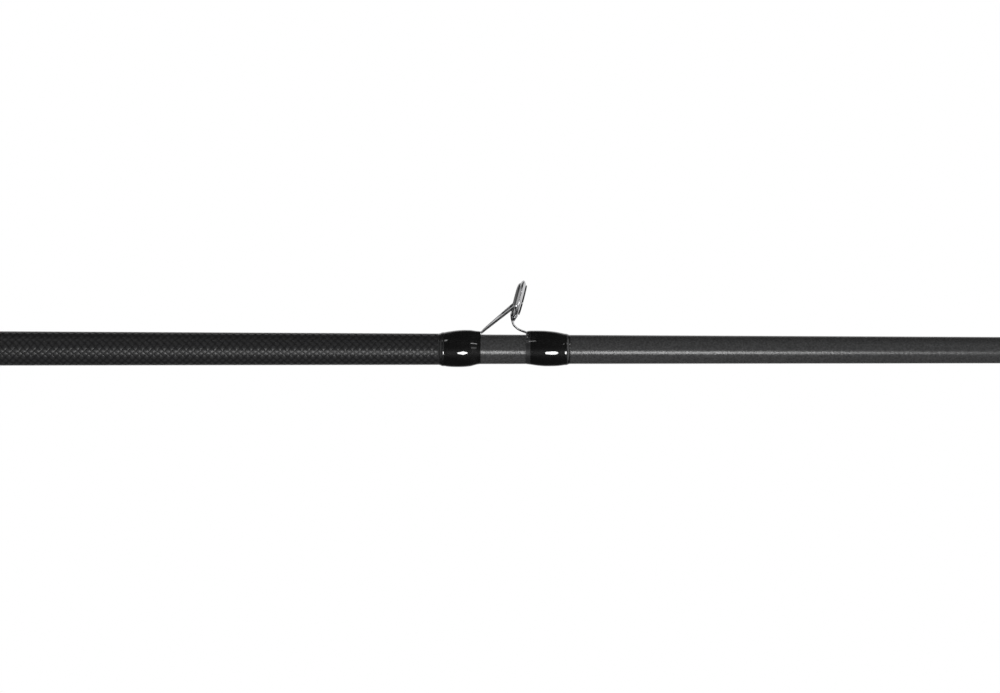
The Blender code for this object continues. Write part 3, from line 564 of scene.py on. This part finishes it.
def wrap(name, start, end, radius_at, cover, body, node, ridge=None, bands=(), edges=(0.0, 0.0)):
    """Thread and epoxy round the blank.

    ridge is (mouth, height there, toe): the hump over a foot, falling away from its mouth.
    bands are (start, end) of silver trim, and edges the lengths of clear epoxy at both ends.
    """
    length = end - start
    thin = start if ridge and ridge[0] < (start + end) / 2 else end

    def swell(x):
        return CLEAR_COAT + cover * eased(abs(x - thin) / length, SWELL)

    def outer(x, a):
        r = radius_at(x) + swell(x)
        r += sum(TRIM_RAISE * math.sin(math.pi * (x - a0) / (a1 - a0)) for a0, a1 in bands if a0 < x < a1)
        if ridge:
            mouth, height, toe = ridge
            lift = height * eased(abs(x - mouth) / abs(toe - mouth), HUMP)
            if (x < mouth) != (toe < mouth):
                lift = height * math.sqrt(max(1 - ((x - mouth) / ROUND_OFF) ** 2, 0.0))
            off = (a + math.pi) % TAU - math.pi
            reach = 0.3 + 0.7 / max(r, 1.5)
            r += lift * math.exp(-((off / reach) ** 4) * 1.6)
        return r

    low = min(radius_at(start), radius_at(end)) - 0.12
    stations = sorted({start, start + length * 0.004, start + length * 0.015, end - length * 0.015,
                       end - length * 0.004, end, *spaced(start, end, length / 56)})

    def choose(x):
        if x < start + edges[0] or x > end - edges[1]:
            return 2
        return int(any(a < x < b for a, b in bands))

    shape = sleeve(stations, outer, lambda x, a: low)
    mesh_piece(name, shape, [M["thread"], M["trim"], M["edge"]], body, [node], "thread_epoxy", 60, choose)


def build_plain_wraps():
    lo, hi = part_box("ferrule_male_binding")
    start, end = lo.x / MM, hi.x / MM
    wrap("ferrule_male_wrap", start, end, butt_radius, 0.46, HANDLE, "ferrule_male_binding",
         bands=[(start + 2.0, start + 3.0), (start + 4.0, start + 4.5)], edges=(1.2, 0.6))
    lo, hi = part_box("ferrule_female_binding")
    start, end = lo.x / MM, hi.x / MM
    wrap("ferrule_female_wrap", start, end, tip_radius, 0.46, TIP, "ferrule_female_binding",
         bands=[(end - 3.0, end - 2.0), (end - 4.5, end - 4.0)], edges=(0.6, 1.2))
    lo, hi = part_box("tip_top_binding")
    start, end = lo.x / MM, hi.x / MM
    wrap("tip_top_wrap", start, end, tip_radius, 0.38, TIP, "tip_top_binding",
         bands=[(start + 1.1, start + 1.5)], edges=(0.8, 0.5))
    for side, away in (("rear", -1), ("front", 1)):
        node = f"keeper_{side}_binding"
        lo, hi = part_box(node)
        start, end = lo.x / MM, hi.x / MM
        mouth, far = (end, start) if away < 0 else (start, end)
        trim = sorted((far - away * 1.3, far - away * 1.8))
        edges = (0.9, 0.3) if away < 0 else (0.3, 0.9)
        wrap(f"keeper_{side}_wrap", start, end, butt_radius, 0.5, HANDLE, node,
             ridge=(mouth, 0.45, far - away * 1.0), bands=[trim], edges=edges)


# ---------------------------------------------------------------- guides


def ring_sections(seat, collar, band):
    """(axial, radius) rows of the ceramic ring and of the steel collar round it."""
    hole = seat * 0.8
    width = collar - seat
    k = band / 1.2

    def rows(inner, table):
        reach = seat - hole if inner == hole else width
        return [(axial * k, inner + share * reach) for axial, share in table]

    inlay = rows(seat, ((-0.55, 0.0), (-0.58, 0.36), (-0.72, 0.34), (-0.88, 0.2), (-1.0, -0.02)))
    inlay += rows(hole, ((-1.04, 0.68), (-1.0, 0.42), (-0.6, 0.08), (0.0, 0.0), (0.55, 0.08), (0.84, 0.4),
                         (0.94, 0.72)))
    inlay += rows(seat, ((0.96, 0.05), (0.97, 0.18), (0.88, 0.29), (0.74, 0.24), (0.64, 0.0)))
    steel = rows(seat, ((-0.56, 0.0), (-0.6, 0.25), (-0.56, 0.45), (-0.43, 0.66), (-0.25, 0.87), (0.0, 1.0),
                        (0.25, 0.87), (0.46, 0.65), (0.64, 0.38), (0.62, 0.0)))
    return inlay, steel


def rounded(profile, steps=3):
    return [(p[0], p[1]) for p in spline([(a, r, 0) for a, r in profile], steps, loop=True)]


def build_guide(name, x, collar, rise, sheet, rear_foot, front_foot, cover):
    body, radius_at = (HANDLE, butt_radius) if name == "guide_1" else (TIP, tip_radius)
    scale = rise / MAIN_RISE
    size = collar / MAIN_COLLAR
    band = 3 * sheet
    seat = collar - 0.29 * collar * min(1, MAIN_COLLAR / collar) ** 0.3
    ground = radius_at(x)
    height = ground + RING_LIFT * rise
    inlay, steel = ring_sections(seat, collar, band)
    stand = Matrix.Translation((x, 0, height)) @ Matrix.Rotation(math.radians(TILT), 4, "Y")
    mesh_piece(f"{name}_ceramic", moved(turned(rounded(inlay)), stand), [M["ceramic"]], body,
               [f"{name}_ring"], "guide_ceramic", 50)

    def floor_line(at):
        return radius_at(at) + 0.06 + sheet / 2

    half = sheet / 2
    bend = x - 8.75 * scale
    half_foot = 0.25 * (radius_at(bend) + 0.5)
    side_y, side_z = 0.75 * collar, height - 0.43 * collar
    shapes = [moved(turned(rounded(steel)), stand)]
    for side in (-1, 1):
        def at(share, out, up=0.0):
            return (mix(bend, x - 0.42 * collar, share), side * mix(half_foot * 0.4, side_y, out),
                    mix(floor_line(bend), side_z - 0.02 * collar, share) + up)

        wide, thick = half_foot * 0.42, half * 1.28
        rows = [
            (bend - 1.6, side * half_foot * 0.4, floor_line(bend), wide, half * 0.9),
            (*at(0.0, 0.0, 0.04), wide, half),
            (*at(0.2, 0.17), wide, thick),
            (*at(0.45, 0.43), wide, thick),
            (*at(0.72, 0.71), wide, thick * 1.02),
            (*at(0.93, 0.93), wide, thick * 1.05),
            (x - 0.26 * collar, side * side_y * 1.09, side_z + 0.11 * collar, wide, thick),
            (x - 0.12 * collar, side * side_y * 1.17, side_z + 0.22 * collar, wide * 0.7, thick * 0.8),
        ]
        shapes.append(ribbon(rows))
    foot_end = bend - rear_foot
    rows = [(foot_end, 0, floor_line(foot_end) - half * 0.4, half_foot * 0.6, half * 0.55)]
    rows += [(foot_end + 2.5, 0, floor_line(foot_end + 2.5), half_foot, half)]
    rows += [(bend - 1.0, 0, floor_line(bend - 1.0), half_foot, half)]
    rows += [(bend + 0.35 * scale, 0, floor_line(bend) + 0.2 * scale, half_foot * 0.9, half)]
    shapes.append(ribbon(rows))

    if front_foot:
        touch = x + 2.1 * scale
        toe = x + 2.6 * scale + front_foot
        floor = floor_line(touch)

        def leg(off, up, wide, thick):
            """A row of the front leg, measured from the ring's centre and the blank."""
            return (x + off * scale, 0, mix(floor, height, up / 7.51), wide * half_foot, thick * scale)

        rows = [
            (x - 0.17 * collar, 0, height - 0.74 * collar, half_foot * 1.7, 0.42 * size),
            leg(-1.02, 4.3, 1.5, 0.82), leg(-1.16, 3.85, 1.1, 0.76), leg(-1.30, 3.25, 0.68, 0.56),
            leg(-1.36, 2.8, 0.46, 0.36), leg(-1.33, 2.35, 0.56, 0.25), leg(-1.12, 1.88, 0.65, 0.21),
            leg(-0.8, 1.55, 0.72, 0.19), leg(-0.2, 1.06, 0.78, 0.185), leg(0.68, 0.67, 0.85, 0.18),
            leg(1.48, 0.38, 0.9, 0.18), (touch, 0, floor + 0.12, half_foot * 0.95, half * 0.9),
            (touch + 1.2 * scale, 0, floor_line(touch + 1.2 * scale), half_foot * 0.9, half),
            (toe - 2.5, 0, floor_line(toe - 2.5), half_foot * 0.9, half),
            (toe, 0, floor_line(toe) - half * 0.4, half_foot * 0.6, half * 0.55),
        ]
        shapes.append(ribbon(rows, steps=5, corners=tapered_corners))
    mesh_piece(f"{name}_steel", joined(*shapes), [M["steel"]], body, [f"{name}_frame"], "guide_steel", 42)

    start, mouth = foot_end - 2.15, bend + 0.25 * scale
    wrap(f"{name}_rear_wrap", start, mouth, radius_at, cover, body, f"{name}_rear_binding",
         ridge=(mouth, sheet + 0.32, foot_end - 0.8), bands=[(start + 0.45 * scale, start + 1.3 * scale)],
         edges=(0.4 * scale, 0.0))
    if front_foot:
        mouth, end = x + 1.45 * scale, toe + 2.2
        wrap(f"{name}_front_wrap", mouth, end, radius_at, cover, body, f"{name}_front_binding",
             ridge=(mouth + 0.5 * scale, sheet + 0.4, toe + 1.4),
             bands=[(end - 1.15, end - 0.4)], edges=(1.15 * scale, 0.12))


def build_tip_top():
    tube_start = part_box("tip_top_frame")[0].x / MM
    blank_end = BLANK_END
    x, height = TIP_TOP_X, TIP_TOP_Z
    collar, band, seat = 3.3, 1.0, 2.35
    stand = Matrix.Translation((x, 0, height)) @ Matrix.Rotation(math.radians(TILT), 4, "Y")
    inlay, steel = ring_sections(seat, collar, band)
    mesh_piece("tip_top_ceramic", moved(turned(rounded(inlay)), stand), [M["ceramic"]], TIP,
               ["tip_top_ring"], "guide_ceramic", 50)
    bore = tip_radius(blank_end) + 0.1
    mouth = tip_radius(tube_start) + 0.1
    tube = [
        (tube_start, mouth), (tube_start, mouth + 0.28), (tube_start + 0.15, mouth + 0.35),
        (blank_end - 0.4, bore + 0.36), (blank_end + 0.5, bore + 0.32), (blank_end + 1.0, bore + 0.05),
        (blank_end + 1.25, 0.35), (blank_end + 0.3, 0.3), (blank_end + 0.3, bore),
    ]
    shapes = [turned(tube, 48), moved(turned(rounded(steel)), stand)]
    for side in (-1, 1):
        rows = [
            (tube_start + 3.0, side * 0.45, mouth + 0.12, 0.28, 0.2),
            (tube_start + 5.0, side * 0.6, mouth + 0.42, 0.3, 0.22),
            (mix(tube_start + 5.0, x, 0.5), side * 1.9, mix(mouth, height, 0.62), 0.26, 0.22),
            (x - 1.0, side * 2.95, height + 0.6, 0.26, 0.24),
            (x - 0.1, side * 3.0, height + 0.95, 0.2, 0.22),
        ]
        shapes.append(ribbon(rows))
    rows = [
        (blank_end - 0.6, 0, -bore * 0.2, 0.45, 0.7), (blank_end + 1.4, 0, -bore * 0.45, 0.55, 0.5),
        (mix(blank_end, x, 0.6), 0, -bore * 0.62, 0.65, 0.32),
        (x - 0.85, 0, height - collar * 0.93, 0.85, 0.3),
    ]
    shapes.append(ribbon(rows))
    mesh_piece("tip_top_steel", joined(*shapes), [M["steel"]], TIP, ["tip_top_frame"], "guide_steel", 42)


# ---------------------------------------------------------------- handle


def bead(node, edge, sides=ROD_SIDES, step=1.0, extra=None):
    """A turned sleeve through a CAD node's own outline, with softly rounded ends."""
    table = outline(node)
    start, end = table[0][0], table[-1][0]
    ends = [edge * share for share in (0.0, 0.04, 0.15, 0.32, 0.6, 1.0)]
    places = sorted({*(start + e for e in ends), *(end - e for e in ends), *spaced(start, end, step)})

    def outer(x, a):
        r = eased(x, table)
        depth = min(x - start, end - x)
        if depth < edge:
            r -= edge * (1 - math.sqrt(max(1 - (1 - depth / edge) ** 2, 0.0)))
        return r + (extra(x, a) if extra else 0.0)

    return sleeve(places, outer, lambda x, a: butt_radius(x) + 0.08, sides)


def build_handle():
    for node in ("rear_grip", "seat_grip", "fore_grip"):
        grip = mesh_piece(f"{node}_foam", bead(node, 0.7), [M["foam"]], HANDLE, [node], "grip_foam")
    for node in ("butt_trim_ring", "seat_trim_ring", "rear_grip_check", "seat_grip_check", "fore_grip_check"):
        shape = bead(node, 0.25, step=0.25)
        mesh_piece(f"{node}_metal", shape, [M["gunmetal"]], HANDLE, [node], "trim_metal")

    table = outline("butt_cap")
    end = table[-1][0]
    places = sorted({0.0, 0.1, 0.3, 0.6, end - 0.5, end - 0.2, end - 0.05, end, *spaced(0, end, 0.4)})

    def cap_radius(x, a=0.0):
        r = eased(x, table)
        depth = end - x
        if depth < 0.5:
            r -= 0.5 * (1 - math.sqrt(max(1 - (1 - depth / 0.5) ** 2, 0.0)))
        for groove in (12.0, 14.4, 16.8, 19.2):
            r -= 0.35 * math.exp(-(((x - groove) / 0.42) ** 2))
        return r

    bore = butt_radius(6.4) + 0.1
    profile = [(x, cap_radius(x)) for x in places] + [(end, bore), (6.1, bore), (6.1, 0.05)]
    profile += [(0.0, 0.05), (0.0, 6.0), (0.25, 6.3), (0.25, 8.4), (0.0, 8.7)]
    mesh_piece("butt_cap_rubber", turned(profile), [M["rubber"]], HANDLE, ["butt_cap"], "rubber_cap", 35)
    for node in ("rear_seat_arbor", "front_seat_arbor"):
        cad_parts[node].data.materials.clear()
        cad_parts[node].data.materials.append(M["arbor"])


def build_reel_seat():
    barrel_start = THREAD_START + THREAD_PITCH * THREAD_TURNS
    seat_start = 300.0
    seat_end = FIXED_HOOD_START + HOOD_LENGTH
    table = [
        (SADDLE_START, BARREL_RADIUS), (SADDLE_START + 0.8, SADDLE_RADIUS - 0.3),
        (SADDLE_START + 3.0, SADDLE_RADIUS), ((SADDLE_START + SADDLE_END) / 2, SADDLE_RADIUS + 0.4),
        (SADDLE_END - 3.0, SADDLE_RADIUS), (SADDLE_END - 0.02, SADDLE_RADIUS - 0.2),
        (SADDLE_END, BARREL_RADIUS),
    ]

    def outer(x, a):
        off = (a + math.pi) % TAU - math.pi
        if x < barrel_start:
            phase = ((x - THREAD_START) / THREAD_PITCH - (math.pi / 2 + a) / TAU) % 1.0
            tooth = soft_step(phase, 0.14, 0.36) * soft_step(1 - phase, 0.14, 0.36)
            lead = soft_step(x, seat_start + 0.2, seat_start + 2.2)
            lead *= 1 - soft_step(x, barrel_start - 2.0, barrel_start)
            r = mix(THREAD_ROOT, THREAD_CREST, tooth * lead)
            r = max(r, BARREL_RADIUS - (barrel_start - x) * 1.2)
            r -= 0.5 * (1 - soft_step(x, seat_start, seat_start + 0.5))
        elif SADDLE_START < x < SADDLE_END:
            r = eased(x, table)
        else:
            r = BARREL_RADIUS
        if SADDLE_START - 0.5 <= x <= SADDLE_END and math.cos(off) > 0:
            r = min(r, LAND_HEIGHT / max(math.cos(off), 0.2))
        under = math.pi - abs(off)
        if x < SADDLE_START - 0.4 and r * math.sin(min(under, 1.0)) < KEYWAY_HALF_WIDTH:
            r = min(r, KEYWAY_FLOOR / math.cos(under))
        return r

    stations = sorted({
        *spaced(seat_start, barrel_start, 0.2), *spaced(barrel_start, SADDLE_START - 0.45, 1.5),
        SADDLE_START - 0.35, SADDLE_START, SADDLE_START + 0.05,
        *spaced(SADDLE_START + 0.05, SADDLE_START + 3, 0.3),
        *spaced(SADDLE_START + 3, SADDLE_END - 3, 1.5), *spaced(SADDLE_END - 3, SADDLE_END - 0.05, 0.5),
        SADDLE_END, seat_end,
    })
    shape = sleeve(stations, outer, lambda x, a: SEAT_BORE, 144)
    mesh_piece("reel_seat_body", shape, [M["seat"]], HANDLE, ["reel_seat"], "seat_plastic", 38)


def lobed(x, radius, half_width, height):
    """Points of a circle joined to a round-cornered box on its +Z side."""
    corner = math.asin(half_width / radius)
    points = []
    for k in range(61):
        a = math.pi / 2 + corner + (TAU - 2 * corner) * k / 60
        points.append((x, radius * math.cos(a), radius * math.sin(a)))
    if height is None:
        for k in range(1, 23):
            a = math.pi / 2 - corner + 2 * corner * k / 23
            points.append((x, radius * math.cos(a), radius * math.sin(a)))
        return points
    soft = 0.35 * (height - radius * math.cos(corner))
    for side in (1, -1):
        quarter = [k * 9 for k in range(11)]
        for turn in quarter if side > 0 else quarter[::-1]:
            y = half_width - soft * (1 - math.cos(math.radians(turn)))
            z = height - soft * (1 - math.sin(math.radians(turn)))
            points.append((x, side * y, z))
    return points


def hood(prefix, mouth, back, body, nodes):
    away = 1 if back > mouth else -1
    slope = (POCKET_END - POCKET_MOUTH) / POCKET_DEPTH

    def section(depth, wall):
        height = POCKET_MOUTH + slope * depth + wall
        return lobed(mouth + away * depth, HOOD_BORE + wall, POCKET_HALF_WIDTH + wall, height)

    def bore(depth):
        return lobed(mouth + away * depth, HOOD_BORE, POCKET_HALF_WIDTH, None)

    skin_wall = LINER_WALL + 0.05
    full = skin_wall + SHELL_WALL
    shell = [section(0.0, skin_wall + 0.25), section(0.06, full - 0.16), section(0.22, full - 0.03),
             section(0.5, full)]
    shell += [section(0.5 + (HOOD_LENGTH - 1.3) * k / 8, full) for k in range(1, 9)]
    shell += [section(HOOD_LENGTH - 0.35, full - 0.12), section(HOOD_LENGTH - 0.08, full - 0.32),
              section(HOOD_LENGTH, full - 0.55), section(HOOD_LENGTH, skin_wall), section(0.0, skin_wall)]
    mesh_piece(f"{prefix}_shell", skin(shell, loop=True), [M["brushed"]], body, nodes[:1], "hood_metal", 45)
    liner = [section(0.0, LINER_WALL), section(HOOD_LENGTH, LINER_WALL), bore(HOOD_LENGTH),
             bore(POCKET_DEPTH + 0.3), section(POCKET_DEPTH, 0.0), section(0.3, 0.0), section(0.0, 0.15)]
    mesh_piece(f"{prefix}_lining", skin(liner, loop=True), [M["liner"]], body, nodes[1:], "hood_liner", 45)


def build_hoods():
    sliding, fixed = ["sliding_hood", "sliding_hood_liner"], ["fixed_hood", "fixed_hood_liner"]
    hood("slide_hood", HOOD_START + HOOD_LENGTH, HOOD_START, "hood_slider", sliding)
    hood("fast_hood", FIXED_HOOD_START, FIXED_HOOD_START + HOOD_LENGTH, HANDLE, fixed)

    def outer(x, a):
        depth = min(x - NUT_START, NUT_START + NUT_LENGTH - x)
        flute = 0.5 - 0.5 * math.cos(NUT_FLUTES * a)
        shape = flute**2.2 * 0.85 * soft_step(depth, 0.3, 1.6)
        edge = 1.0 - math.sqrt(max(1 - (1 - min(depth, 1.0)) ** 2, 0.0))
        return NUT_RADIUS - shape - edge

    steps = [0, 0.03, 0.1, 0.2, 0.4, 0.7, 1.0, 1.4, 1.8]
    stations = sorted({*(NUT_START + s for s in steps), *(NUT_START + NUT_LENGTH - s for s in steps),
                       *spaced(NUT_START + 1.8, NUT_START + NUT_LENGTH - 1.8, 1.4)})
    shape = sleeve(stations, outer, lambda x, a: THREAD_CREST + 0.25, NUT_FLUTES * 12)
    mesh_piece("lock_nut_metal", shape, [M["gunmetal"]], "locking_nut", ["lock_nut"], "nut_metal", 38)


def build_keeper():
    def line(at):
        return butt_radius(at) + 0.06 + KEEPER_SHEET / 2

    ground, thick = line(KEEPER_X), KEEPER_SHEET / 2
    rows = []
    for off, up, wide in ((-14, 0, 0.8), (-12.5, 0, 1.1), (-4.6, 0, 1.3), (-3.9, 0.12, 1.5), (-2.8, 0.5, 2.3),
                          (0, 0.52, 2.4), (2.8, 0.5, 2.3), (3.9, 0.12, 1.5), (4.6, 0, 1.3), (12.5, 0, 1.1),
                          (14, 0, 0.8)):
        rows.append((KEEPER_X + off, 0, line(KEEPER_X + off) + up, wide, thick))
    shapes = [ribbon(rows)]
    pivot = ground + 2.3
    for side in (-1, 1):
        y = side * KEEPER_EAR_Y
        rows = [(KEEPER_X, y, ground + 0.45, 1.15, 0.25), (KEEPER_X, y, pivot - 0.9, 1.0, 0.25),
                (KEEPER_X, y, pivot - 0.2, 0.95, 0.25), (KEEPER_X, y, pivot + 0.55, 0.8, 0.25)]
        shapes.append(ribbon(rows, side=(1, 0, 0)))
        eye = [(-0.31, 0.42), (-0.31, 0.85), (-0.2, 0.98), (0.2, 0.98), (0.31, 0.85), (0.31, 0.42)]
        turn = Matrix.Translation((KEEPER_X, y, pivot)) @ Matrix.Rotation(math.radians(90), 4, "Z")
        shapes.append(moved(turned(eye, 40), turn))
    shape = joined(*shapes)
    mesh_piece("keeper_base_steel", shape, [M["steel"]], HANDLE, ["keeper_base"], "keeper_steel", 42)

    reach, half = 8.0, 3.3
    loop = [(0, -half), (0, -1.2), (0, 1.2), (0, half), (0.5, half + 0.45), (1.6, half + 0.6)]
    for turn in range(60, -61, -20):
        a = math.radians(turn)
        loop.append((reach - 3.9 + 3.9 * math.cos(a), 3.9 * math.sin(a)))
    loop += [(1.6, -half - 0.6), (0.5, -half - 0.45)]
    rows = [(KEEPER_X + off, y, pivot, 0.4, 0.4) for off, y in loop]
    shape = ribbon(rows, 5, round_corners, (0, 0, 1), loop=True)
    mesh_piece("keeper_wire", shape, [M["steel"]], "folding_keeper", ["keeper_ring"], "keeper_steel", 60)


build_blanks()
build_plain_wraps()
for row in GUIDES:
    build_guide(*row)
build_tip_top()
build_handle()
build_reel_seat()
build_hoods()
build_keeper()


# ---------------------------------------------------------------- stage, light, camera


def build_floor():
    """A pale floor that neither lights, shades nor is mirrored in the rod."""
    g = Graph("floor_pale", roughness=0.9, emission_color=(1, 1, 1), emission_strength=FLOOR_GLOW)
    g.tint(g.noise(0.004, 2.0), (0.08, 0.08, 0.08), (0.1, 0.1, 0.1))
    mesh = bpy.data.meshes.new("floor")
    corners = [(x, y, FLOOR_DEPTH) for x, y in ((-3.0, -5.0), (5.0, -5.0), (5.0, 2.0), (-3.0, 2.0))]
    mesh.from_pydata(corners, [], [(0, 1, 2, 3)])
    mesh.materials.append(g.material)
    floor = bpy.data.objects.new("floor", mesh)
    bpy.context.scene.collection.objects.link(floor)
    floor.visible_glossy = floor.visible_diffuse = floor.visible_shadow = False


def softbox(name, azimuth, elevation, distance, width, tall, radiance):
    """An oval of light seen from the third guide; azimuth 0 is the camera's side, 90 the tip's."""
    data = bpy.data.lights.new(name, "AREA")
    data.shape = "ELLIPSE"
    data.size, data.size_y = width * MM, tall * MM
    data.energy = radiance * math.pi ** 2 / 4 * data.size * data.size_y
    lamp = bpy.data.objects.new(name, data)
    bpy.context.scene.collection.objects.link(lamp)
    a, e = math.radians(azimuth), math.radians(elevation)
    way = Vector((math.sin(a) * math.cos(e), -math.cos(a) * math.cos(e), math.sin(e)))
    middle = Vector((MAIN_GUIDE_X, 0, 0)) * MM
    lamp.location = middle + way * distance * MM
    lamp.rotation_mode = "QUATERNION"
    lamp.rotation_quaternion = way.to_track_quat("Z", "Y")
    lamp.visible_camera = False


def build_world():
    """White to the camera. Reflections see a dim room with bright lobes behind and at both ends."""
    world = bpy.data.worlds.new("studio")
    bpy.context.scene.world = world
    world.use_nodes = True
    tree = world.node_tree
    tree.nodes.clear()

    def add(kind, **settings):
        node = tree.nodes.new(kind)
        for key, value in settings.items():
            setattr(node, key, value)
        return node

    split = add("ShaderNodeSeparateXYZ")
    tree.links.new(add("ShaderNodeTexCoord").outputs["Generated"], split.inputs[0])

    def ramp(axis, low, high, to_low, to_high):
        node = add("ShaderNodeMapRange", interpolation_type="SMOOTHSTEP")
        tree.links.new(split.outputs[axis], node.inputs[0])
        for socket, number in zip(node.inputs[1:5], (low, high, to_low, to_high)):
            socket.default_value = number
        return node.outputs[0]

    def combine(operation, a, b):
        node = add("ShaderNodeMath", operation=operation)
        tree.links.new(a, node.inputs[0])
        tree.links.new(b, node.inputs[1])
        return node.outputs[0]

    backdrop = ramp("Y", 0.66, 0.9, 0.0, 0.95)
    ceiling = ramp("Z", 0.15, 0.9, 0.03, 0.05)
    tip_side = ramp("X", 0.5, 0.57, 0.0, 1.2)
    butt_side = ramp("X", -0.72, -0.55, 0.7, 0.0)
    room = combine("MAXIMUM", combine("MAXIMUM", backdrop, ceiling), combine("MAXIMUM", tip_side, butt_side))
    dim = add("ShaderNodeBackground")
    tree.links.new(room, dim.inputs["Strength"])
    white = add("ShaderNodeBackground")
    pick = add("ShaderNodeMixShader")
    white.inputs["Color"].default_value = (1, 1, 1, 1)
    tree.links.new(add("ShaderNodeLightPath").outputs["Is Camera Ray"], pick.inputs[0])
    tree.links.new(dim.outputs[0], pick.inputs[1])
    tree.links.new(white.outputs[0], pick.inputs[2])
    tree.links.new(pick.outputs[0], add("ShaderNodeOutputWorld").inputs["Surface"])


def build_camera():
    data = bpy.data.cameras.new("camera")
    data.lens, data.sensor_width = CAMERA_LENS, 36.0
    data.clip_start, data.clip_end = 0.05, 50.0
    camera = bpy.data.objects.new("camera", data)
    bpy.context.scene.collection.objects.link(camera)
    e = math.radians(CAMERA_ELEVATION)
    back = Vector((0, -math.cos(e), math.sin(e)))
    camera.location = (Vector((VIEW_X, 0, VIEW_Z)) + back * CAMERA_DISTANCE) * MM
    camera.rotation_mode = "QUATERNION"
    roll = Matrix.Rotation(math.radians(CAMERA_ROLL), 3, "Z").to_quaternion()
    camera.rotation_quaternion = back.to_track_quat("Z", "Y") @ roll
    bpy.context.scene.camera = camera


bpy.context.scene.view_settings.view_transform = "Standard"
build_floor()
build_world()
softbox("key", 4.7, CAMERA_ELEVATION - 24.8, KEY_DISTANCE, 240, 450, 30)
softbox("side_right", 36.0, 44.0, SIDE_DISTANCE, 260, 120, 6)
softbox("strut_fill", 29.0, 16.0, SIDE_DISTANCE, 180, 240, 1.3)
softbox("side_left", -42.0, 62.0, SIDE_DISTANCE, 160, 300, 4)
build_camera()
